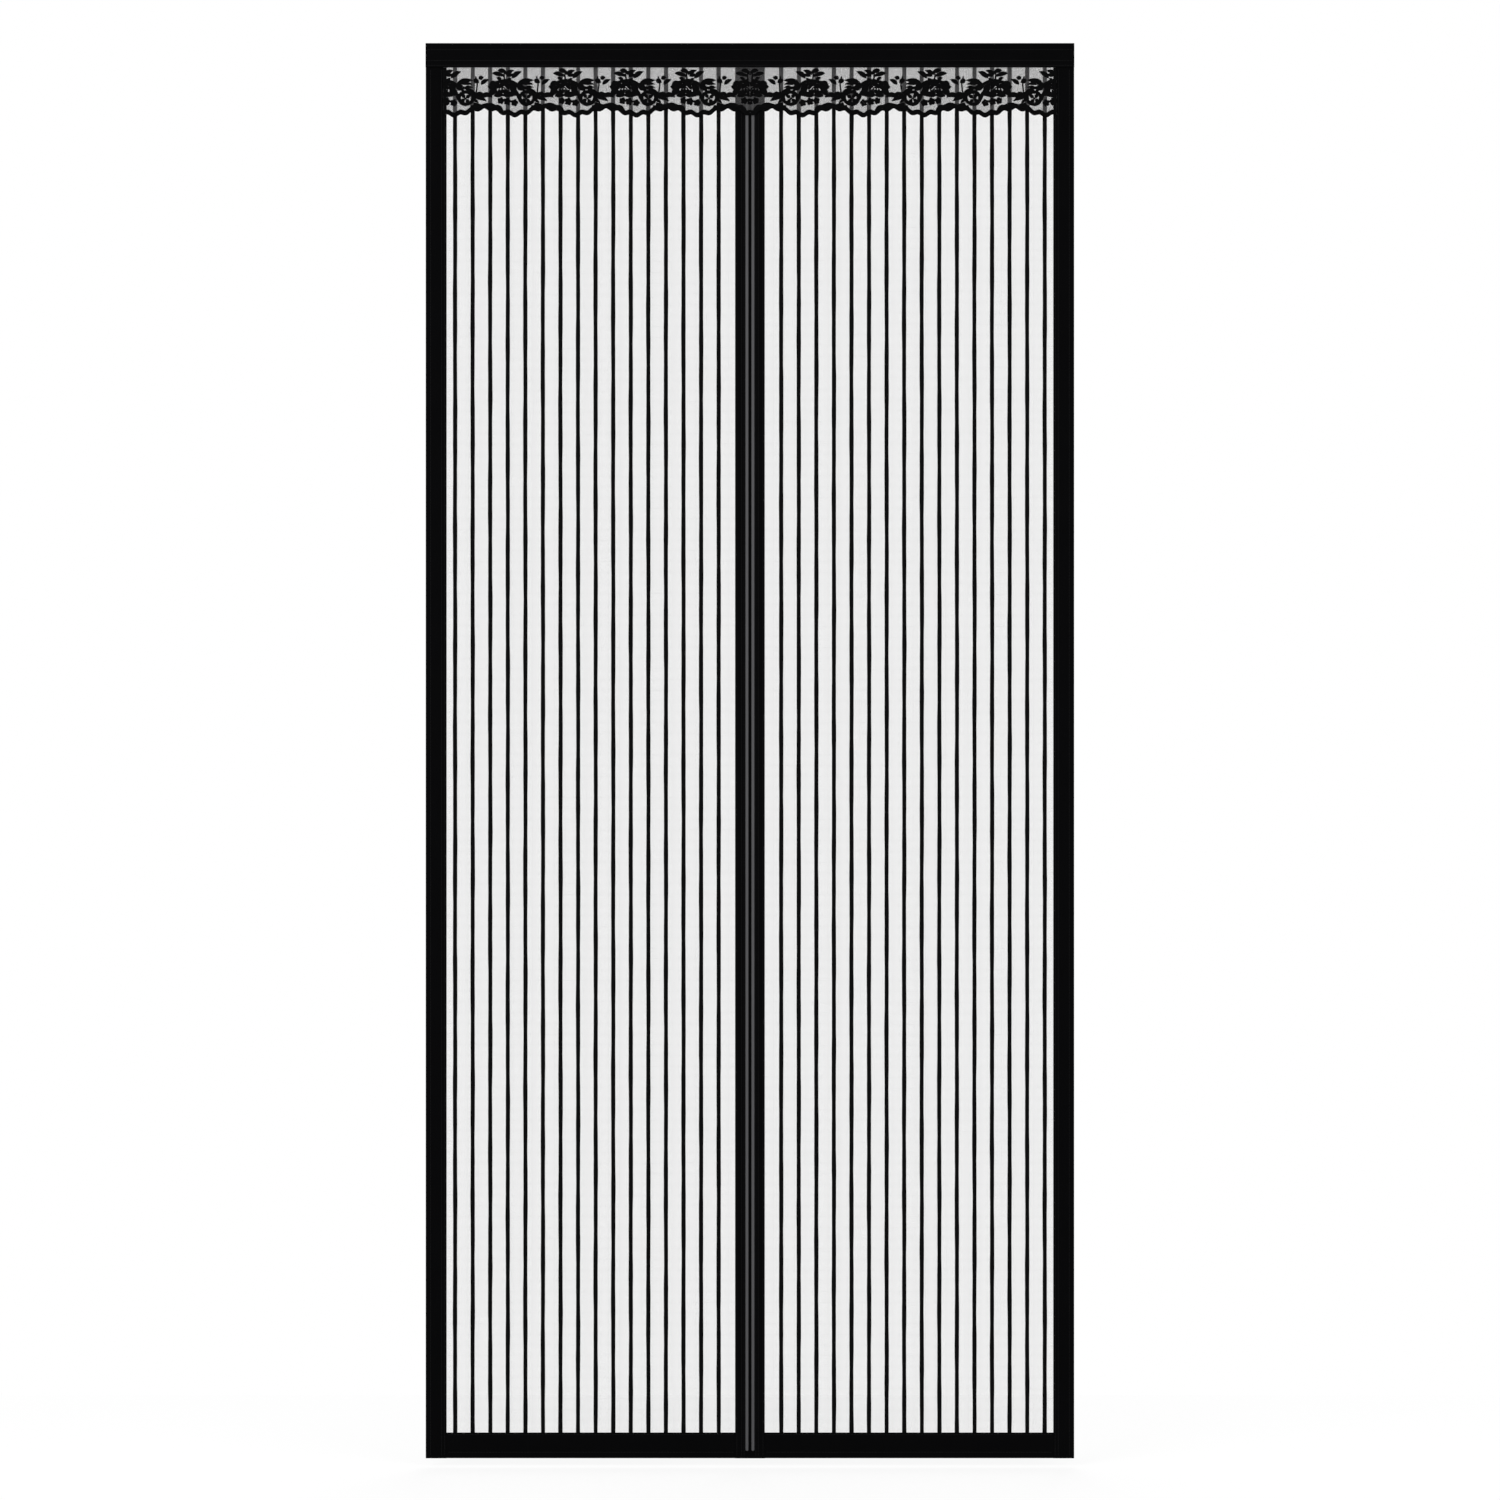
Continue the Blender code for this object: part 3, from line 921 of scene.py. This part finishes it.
def ease(value):
    """A smooth step from 0 to 1."""
    value = min(max(value, 0.0), 1.0)
    return value * value * (3 - 2 * value)


def waves(place, parts, phases):
    """The sum of waves, each (reach, length), at a place along them."""
    return sum(
        reach * math.sin(place * math.tau / length + phase)
        for (reach, length), phase in zip(parts, phases)
    )


def net_depth(across, height, middle_depth, billow, phase):
    """Where the hung panel stands, swelling most in its middle."""
    spread = (abs(across) - SLEEVE_LIP) / (SIDE_LIP - SLEEVE_LIP)
    if not 0 < spread < 1:
        return middle_depth
    clear = ease((LIP - CLEAR_OF_LACE - height) / SWELL_START)
    clear *= ease((height - HEM_LIP) / SWELL_START)
    swell = waves(height, SWELL, (phase, 2.1 * phase))
    return middle_depth + billow * clear * math.sin(math.pi * spread) * swell


def even_steps(low, high, pitch):
    count = max(round((high - low) / pitch), 1)
    return [low + (high - low) * step / count for step in range(count + 1)]


def add_net(side, materials):
    """Upright threads, cross threads and stripes, made as one piece."""
    settings = bpy.context.scene.screen_net
    sign = SIDES[side]
    low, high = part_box(side + "_net")
    middle_depth = (low.y + high.y) / 2
    chance = random.Random(11 + sign)
    strands = Strands()

    def spot(across, height):
        phase = SWELL_PHASES[side]
        depth = net_depth(across, height, middle_depth, settings.billow, phase)
        return Vector((across, depth, height))

    width = settings.thread_width
    heights = even_steps(low.z, high.z, UPRIGHT_STEP)
    for across in even_steps(low.x, high.x, settings.thread_pitch):
        path = [(spot(across, height), width, width) for height in heights]
        strands.add(path, TRIANGLE)
    places = even_steps(low.x, high.x, CROSS_STEP)
    for height in even_steps(low.z, high.z, settings.thread_pitch):
        path = [(spot(across, height), width, width) for across in places]
        strands.add(path, TRIANGLE)

    for index in range(STRIPE_COUNT):
        centre = SIDE_LIP - FIRST_STRIPE - STRIPE_PITCH * index
        phases = [chance.uniform(0, math.tau) for _ in range(4)]
        path = []
        for height in even_steps(low.z, high.z, STRIPE_STEP):
            across = sign * (centre + waves(height, WANDER, phases[:2]))
            width = settings.stripe_width * (1 + waves(height, UNEVEN, phases[2:]))
            path.append((spot(across, height), width, STRIPE_HEIGHT))
        strands.add(path, RIBBON, 1)

    net = strands.make(side + "_striped_net", materials)
    dress(net, None, "net", side + "_net")


# Lace


def lace_edge(across):
    """How far the scalloped edge hangs below the band."""
    turn = math.tau * (across - FIRST_SCALLOP) / LACE_REPEAT
    scallop = SCALLOP_DEPTH * math.cos(turn)
    return LACE_DROP + scallop + PICOT_DEPTH * math.cos(PICOTS * turn)


def lace_spot(across, drop):
    """A point on the lace, which stands a little forward towards its free edge."""
    sway = bpy.context.scene.screen_lace.sway * ease(drop / LACE_DROP)
    forward = sway * (0.5 + 0.5 * math.sin(across * math.tau / LACE_WAVE + 0.6))
    return Vector((across, LACE_MIDDLE - forward, LIP - drop))


def add_lace_ground(strands, end, top):
    """Two sets of slanted threads that cross as a diamond mesh, cut at the lace's edge."""
    settings = bpy.context.scene.screen_lace
    width = settings.mesh_thread
    step = settings.mesh_pitch * math.sqrt(2)
    longest = LACE_DROP + SCALLOP_DEPTH + PICOT_DEPTH + top
    for slant in (-1, 1):
        start = -end - longest
        while start < end + longest:
            drops = []
            drop = -top
            while drop < longest - top:
                across = abs(start + slant * (drop + top))
                if across < end and drop < lace_edge(across) - EDGE_ROOM:
                    drops.append(drop)
                drop += GROUND_STEP
            if len(drops) > SHORTEST_THREAD:
                path = []
                for share in GROUND_SHARES:
                    drop = drops[0] + (drops[-1] - drops[0]) * share
                    across = start + slant * (drop + top)
                    path.append((lace_spot(across, drop), width, width * GROUND_FLATNESS))
                strands.add(path, TRIANGLE)
            start += step


def on_oval(centre, reach, rise, angle):
    """A point on an oval; the angle in degrees turns anticlockwise from outward."""
    angle = math.radians(angle)
    return centre[0] + reach * math.cos(angle), centre[1] - rise * math.sin(angle)


def curl(centre, start, turn, steps, reach, growth, oval=(1, 1)):
    """Points on a widening curl, from a start angle over a turn."""
    line = []
    for step in range(steps + 1):
        out = reach + growth * step / steps
        angle = start + turn * step / steps
        line.append(on_oval(centre, oval[0] * out, oval[1] * out, angle))
    return line


def bend_through(points):
    """A rounded line through the given points."""
    line = []
    for index in range(len(points) - 1):
        before = points[max(index - 1, 0)]
        start, end = points[index], points[index + 1]
        after = points[min(index + 2, len(points) - 1)]
        for step in range(BEND_STEPS):
            t = step / BEND_STEPS
            spot = []
            for a, b, c, d in zip(before, start, end, after):
                curve = 2 * b + (c - a) * t + (2 * a - 5 * b + 4 * c - d) * t * t
                spot.append((curve + (3 * b - a - 3 * c + d) * t**3) / 2)
            line.append(tuple(spot))
    return line + [points[-1]]


class Embroidery:
    """Draws petals, leaves and cords on one side of the lace."""

    def __init__(self, strands, sign, end):
        self.strands = strands
        self.sign = sign
        self.end = end

    def draw(self, line, widths, height, section):
        """A strand along (outward, drop) points that stay on the lace."""
        path = []
        for (outward, drop), width in zip(line, widths):
            if 0 <= outward <= self.end and drop >= BAND_ROOM:
                spot = lace_spot(self.sign * outward, drop)
                thick = height * min(1, THIN_END + width / max(widths))
                path.append((spot, width, thick))
        if len(path) > 1:
            self.strands.add(path, section)

    def cord(self, line, width, height=0.0010):
        self.draw(line, [width] * len(line), height, ROUND)

    def leaf(self, base, tip, width, bend=0.0, steps=7, height=0.0006):
        """A pointed petal from its base to its tip, bent sideways."""
        across, down = tip[0] - base[0], tip[1] - base[1]
        line, widths = [], []
        for step in range(steps + 1):
            share = step / steps
            bow = bend * math.sin(math.pi * share)
            outward = base[0] + across * share - down * bow
            line.append((outward, base[1] + down * share + across * bow))
            full = math.sin(math.pi * share**FULLEST)
            widths.append(width * (LEAF_POINT + (1 - LEAF_POINT) * full))
        self.draw(line, widths, height, PETAL)

    def flower(self, centre, reach, petals, width):
        """Petals round a centre, with a knot in the middle."""
        for petal in range(petals):
            angle = FLOWER_TURN - 360 * petal / petals
            bare = reach * BARE_SHARE
            base = on_oval(centre, bare, bare, angle)
            tip = on_oval(centre, reach, reach, angle)
            self.leaf(base, tip, width, BEND, steps=5)
        knot = reach * KNOT_SHARE
        base, tip = (centre[0] - knot, centre[1]), (centre[0] + knot, centre[1])
        self.leaf(base, tip, knot * 1.6, steps=5, height=KNOT_HEIGHT)

    def crescent(self, centre, reach, rise, start, stop, width):
        """A curved petal, thickest in its middle, on an oval round a centre."""
        line, widths = [], []
        for step in range(CRESCENT_STEPS + 1):
            share = step / CRESCENT_STEPS
            line.append(on_oval(centre, reach, rise, start + (stop - start) * share))
            full = math.sin(math.pi * share)
            widths.append(width * (CRESCENT_POINT + (1 - CRESCENT_POINT) * full))
        self.draw(line, widths, CRESCENT_HEIGHT, PETAL)

    def rose(self, centre):
        """A rolled heart with two rings of petals, under a ribbed fan."""
        self.cord(curl(centre, *HEART), *HEART_CORD)
        for petals, reach, rise, start, stop, width in ROSE_RINGS:
            for petal in range(petals):
                turn = 360 / petals * petal
                self.crescent(centre, reach, rise, turn + start, turn + stop, width)
        for rib in range(FAN_RIBS):
            angle = FAN_START + rib * FAN_TURN
            near, far = on_oval(centre, *FAN_NEAR, angle), on_oval(centre, *FAN_FAR, angle)
            self.leaf(near, far, FAN_WIDTH, steps=4)

    def paisley(self, centre):
        """A ring that runs out into a tail, with a small flower in it."""
        self.cord(curl(centre, *RING, RING_OVAL), *RING_CORD)
        heart = centre[0] + FLOWER_SHIFT[0], centre[1] + FLOWER_SHIFT[1]
        self.flower(heart, *RING_FLOWER)

    def unit(self, low):
        """One repeat of the pattern, placed at the lowest point of a scallop."""

        def at(outward, drop):
            return low + outward / 1000, drop / 1000

        for start, end, width in UNIT_LEAVES:
            self.leaf(at(*start), at(*end), width / 1000, BEND)
        for width, points in UNIT_CORDS:
            self.cord(bend_through([at(*point) for point in points]), width / 1000)
        for centre, reach in UNIT_FLOWERS:
            self.flower(at(*centre), reach / 1000, 5, reach / 1000)
        self.rose(at(*ROSE))
        self.paisley(at(*PAISLEY))

    def border(self):
        """Two cords side by side along the scalloped edge."""
        places = even_steps(0, self.end, BORDER_STEP)
        for inset, width, height in BORDER_CORDS:
            self.cord([(place, lace_edge(place) - inset) for place in places], width, height)

    def side_hem(self):
        """The end of the lace, folded over and sewn down on the side band."""
        place = self.end - LACE_HEM / 2
        drops = even_steps(LACE_HEM_TOP, lace_edge(place) - EDGE_ROOM, LACE_HEM_STEP)
        line = [(place, drop) for drop in drops]
        self.draw(line, [LACE_HEM] * len(drops), LACE_HEM_HEIGHT, RIBBON)


def add_lace(ground_finish, thread_finish):
    """The slanted ground, and the embroidery that lies on it."""
    end = LACE_HIGH.x
    threads, strands = Strands(), Strands()
    add_lace_ground(threads, end - EDGE_ROOM / 2, LACE_HIGH.z - LIP)
    for sign in (-1, 1):
        needle = Embroidery(strands, sign, end - EDGE_ROOM)
        needle.border()
        needle.side_hem()
        low = FIRST_SCALLOP - LACE_REPEAT
        while low < end + LACE_REPEAT:
            needle.unit(low)
            low += LACE_REPEAT
    ground = threads.make("floral_lace_ground", [ground_finish])
    dress(ground, None, "lace", "lace_valance")
    flowers = strands.make("floral_lace_embroidery", [thread_finish])
    dress(flowers, None, "lace")


# Operators


class ScreenOperator:
    bl_options = {"REGISTER", "UNDO"}


class INSECT_SCREEN_OT_stage(ScreenOperator, bpy.types.Operator):
    """Adds the floor, the white surroundings, the studio lamps and the camera"""

    bl_idname = "insect_screen.stage"
    bl_label = "Stage"

    def execute(self, context):
        settings = context.scene.screen_stage
        centre = (CAD_BOX[0] + CAD_BOX[1]) / 2
        self.add_camera(context.scene, settings, centre)
        self.add_world(context.scene)
        self.add_floor(settings)
        self.add_lamps(context.scene, settings, centre)
        context.scene.view_settings.view_transform = "Standard"
        return {"FINISHED"}

    def add_camera(self, scene, settings, centre):
        data = bpy.data.cameras.new("camera")
        data.lens = settings.lens
        data.sensor_width = SENSOR_WIDTH
        camera = bpy.data.objects.new("camera", data)
        scene.collection.objects.link(camera)
        away = settings.view_width / data.sensor_width * settings.lens
        across, up = AIM
        camera.location = (centre.x + across, CAD_BOX[0].y - away, centre.z + up)
        camera.rotation_euler = (math.pi / 2, 0, 0)
        scene.camera = camera

    def add_world(self, scene):
        world = scene.world or bpy.data.worlds.new("surroundings")
        scene.world = world
        world.use_nodes = True
        light = world.node_tree.nodes["Background"]
        light.inputs["Color"].default_value = (1, 1, 1, 1)
        nodes = Nodes(world.node_tree)
        level = WORLD_LIGHT + nodes.background_seen() * (1 - WORLD_LIGHT)
        nodes.fill(light.inputs["Strength"], level)

    def add_floor(self, settings):
        spot = (0, FLOOR_MIDDLE, BOTTOM - settings.floor_gap)
        bpy.ops.object.select_all(action="DESELECT")
        bpy.ops.mesh.primitive_plane_add(size=1, location=spot)
        floor = bpy.context.object
        floor.name = "floor"
        floor.scale = FLOOR_SIZE
        bpy.ops.object.transform_apply(location=True, rotation=False, scale=True)
        start_on(floor)
        bpy.ops.mesh.subdivide(number_cuts=6)
        leave()
        floor.data.materials.append(pale_floor())

    def add_lamps(self, scene, settings, centre):
        for name, place, size, share in LAMPS:
            data = bpy.data.lights.new(name, "AREA")
            data.size = size
            data.energy = settings.light_level * share
            lamp = bpy.data.objects.new(name, data)
            scene.collection.objects.link(lamp)
            lamp.location = place
            lamp.rotation_euler = (centre - Vector(place)).to_track_quat("-Z", "Y").to_euler()


class INSECT_SCREEN_OT_nets(ScreenOperator, bpy.types.Operator):
    """Hangs the two striped net panels"""

    bl_idname = "insect_screen.nets"
    bl_label = "Striped nets"

    def execute(self, context):
        settings = context.scene.screen_net
        materials = [net_thread(settings), woven_stripe(settings)]
        for side in SIDES:
            add_net(side, materials)
        return {"FINISHED"}


class INSECT_SCREEN_OT_lace(ScreenOperator, bpy.types.Operator):
    """Makes the floral lace under the top band"""

    bl_idname = "insect_screen.lace"
    bl_label = "Floral lace"

    def execute(self, context):
        settings = context.scene.screen_lace
        add_lace(lace_ground(settings), satin_stitch(settings))
        return {"FINISHED"}


class INSECT_SCREEN_OT_bands(ScreenOperator, bpy.types.Operator):
    """Folds and stitches the top band, the side bands and the hems"""

    bl_idname = "insect_screen.bands"
    bl_label = "Folded bands"

    def execute(self, context):
        settings = context.scene.screen_cloth
        finishes = binding_cloth(settings), sewing_thread(settings)
        fold = (0, 1, SLOT_DEPTH, TOP_ROWS, TOP_CUTS)
        self.add_band(finishes, "top_band", "top_band", fold, TOP_ENDS)
        for side, sign in SIDES.items():
            rows = [sign * (SIDE_LIP + gap) for gap in SIDE_ROWS]
            fold = (2, sign, SLOT_DEPTH, rows, SIDE_CUTS)
            self.add_band(finishes, side + "_side_band", side + "_side_band", fold, SIDE_ENDS)
            rows = [HEM_LIP - gap for gap in HEM_ROWS]
            fold = (0, -1, HEM_SLOT_DEPTH, rows, HEM_CUTS)
            self.add_band(finishes, side + "_hem", side + "_bottom_hem", fold, HEM_ENDS)
        return {"FINISHED"}

    def add_band(self, finishes, name, node, fold, ends):
        """A band with its rows of stitches, which keep these distances from its ends."""
        long_axis, _, _, rows, _ = fold
        cloth, thread = finishes
        dress(folded_band(name + "_cloth", node, *fold), cloth, "binding_cloth", node)
        low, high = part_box(node)
        start, end = low[long_axis] + ends[0], high[long_axis] - ends[1]
        sew(name + "_stitches", thread, long_axis, rows, start, end, low.y)


class INSECT_SCREEN_OT_seam(ScreenOperator, bpy.types.Operator):
    """Makes the sleeves that meet at the seam, and the magnet strips in them"""

    bl_idname = "insect_screen.seam"
    bl_label = "Magnet sleeves"

    def execute(self, context):
        settings = context.scene.screen_cloth
        cloth, thread = binding_cloth(settings), sewing_thread(settings)
        rubber = magnet_rubber(settings)
        for side, sign in SIDES.items():
            self.add_strip(side, rubber)
            self.add_sleeve(side, sign, cloth, thread)
        return {"FINISHED"}

    def rounded_strip(self, name, low, high, spare=0.0):
        """A strip with half-round ends, a little larger all round when spare is given."""
        room = Vector((spare, 0, spare))
        strip = add_block(name, low - room, high + room)
        start_on(strip)
        pick(strip, "EDGE", lambda e: runs_along(e, 1))
        radius = (high.x - low.x) / 2 + spare - STRIP_FLAT
        bpy.ops.mesh.bevel(offset=radius, segments=8, affect="EDGES")
        leave()
        return strip

    def add_strip(self, side, rubber):
        node = side + "_magnet_strip"
        strip = self.rounded_strip(side + "_magnet_rubber", *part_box(node))
        apply_modifier(
            strip,
            "BEVEL",
            width=MAGNET_ROUND,
            segments=3,
            limit_method="ANGLE",
            angle_limit=math.radians(60),
        )
        smooth(strip)
        dress(strip, rubber, "magnet_rubber", node)

    def cut_groove(self, sleeve, side):
        """Cuts the groove that the magnet strip lies in."""
        low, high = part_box(side + "_magnet_strip")
        low.y -= CUTTER_REACH
        high.y += GROOVE_ROOM
        cutter = self.rounded_strip(side + "_groove", low, high, GROOVE_ROOM)
        apply_modifier(
            sleeve, "BOOLEAN", operation="DIFFERENCE", object=cutter, solver="EXACT"
        )
        bpy.data.objects.remove(cutter)

    def add_sleeve(self, side, sign, cloth, thread):
        node = side + "_magnet_sleeve"
        low, high = sewn_box(node)
        seam, lip = (low.x, high.x) if sign > 0 else (high.x, low.x)
        rows = [sign * place for place in (SLEEVE_LIP - EDGE_ROW, *MAGNET_ROWS)]
        sleeve = add_block(side + "_sleeve_cloth", low, high)
        start_on(sleeve)
        pick(sleeve, "EDGE", lambda e: runs_along(e, 2) and lies_at(e, 0, seam))
        bpy.ops.mesh.bevel(offset=SEAM_ROUND, segments=5, affect="EDGES")
        open_slot(sleeve, 0, lip, -sign * SLOT_DEPTH)
        press_rows(sleeve, 2, rows, SIDE_CUTS)
        leave()
        self.cut_groove(sleeve, side)
        smooth(sleeve)
        dress(sleeve, cloth, "binding_cloth", node)
        start, end = low.z + SIDE_ENDS[0], high.z - SIDE_ENDS[1]
        sew(side + "_sleeve_stitches", thread, 2, rows, start, end, low.y)


class INSECT_SCREEN_OT_tapes(ScreenOperator, bpy.types.Operator):
    """Makes the loop tape and the adhesive hook tape on the back"""

    bl_idname = "insect_screen.tapes"
    bl_label = "Fixing tapes"

    def execute(self, context):
        pile, film = loop_pile(context.scene.screen_cloth), adhesive_film()
        for place in ("top", "left", "right"):
            for kind, material in (("loop_tape", pile), ("hook_tape", film)):
                self.add_tape(place + "_" + kind, material, kind)
        return {"FINISHED"}

    def add_tape(self, node, material, kind):
        """A tape whose back is pressed in between its borders."""
        low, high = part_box(node)
        long_axis = 0 if high.x - low.x > high.z - low.z else 2
        tape = add_block(node + "_strip", low, high)
        start_on(tape)
        divide(tape, long_axis, TAPE_CUTS[long_axis])
        pick(tape, "FACE", lambda f: lies_at(f, 1, high.y))
        bpy.ops.mesh.inset(thickness=TAPE_BORDER, depth=0)
        bpy.ops.transform.translate(value=(0, -TAPE_HOLLOW, 0))
        leave()
        apply_modifier(tape, "BEVEL", width=TAPE_ROUND, segments=2, limit_method="ANGLE")
        smooth(tape)
        dress(tape, material, kind, node)


class INSECT_SCREEN_OT_weights(ScreenOperator, bpy.types.Operator):
    """Gives the steel strips in the hems their finish"""

    bl_idname = "insect_screen.weights"
    bl_label = "Hem weights"

    def execute(self, context):
        steel = galvanised_steel()
        for side in SIDES:
            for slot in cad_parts[side + "_hem_weight"].material_slots:
                slot.material = steel
        return {"FINISHED"}


class INSECT_SCREEN_PT_panel(bpy.types.Panel):
    bl_label = "Insect screen"
    bl_space_type = "VIEW_3D"
    bl_region_type = "UI"
    bl_category = "Insect screen"

    def draw(self, context):
        for group in GROUPS:
            settings = getattr(context.scene, group)
            box = self.layout.box()
            for name in settings.__annotations__:
                box.prop(settings, name)
        for operator in OPERATORS:
            self.layout.operator(operator.bl_idname)


OPERATORS = (
    INSECT_SCREEN_OT_stage,
    INSECT_SCREEN_OT_bands,
    INSECT_SCREEN_OT_seam,
    INSECT_SCREEN_OT_nets,
    INSECT_SCREEN_OT_lace,
    INSECT_SCREEN_OT_tapes,
    INSECT_SCREEN_OT_weights,
)
GROUPS = {
    "screen_net": NetSettings,
    "screen_lace": LaceSettings,
    "screen_cloth": ClothSettings,
    "screen_stage": StageSettings,
}
CLASSES = (*GROUPS.values(), *OPERATORS, INSECT_SCREEN_PT_panel)


def register():
    for entry in CLASSES:
        bpy.utils.register_class(entry)
    for name, group in GROUPS.items():
        setattr(bpy.types.Scene, name, PointerProperty(type=group))


def unregister():
    for name in GROUPS:
        delattr(bpy.types.Scene, name)
    for entry in reversed(CLASSES):
        bpy.utils.unregister_class(entry)


def main():
    register()
    for operator in OPERATORS:
        name = operator.bl_idname.split(".")[1]
        getattr(bpy.ops.insect_screen, name)()


if __name__ == "__main__":
    main()
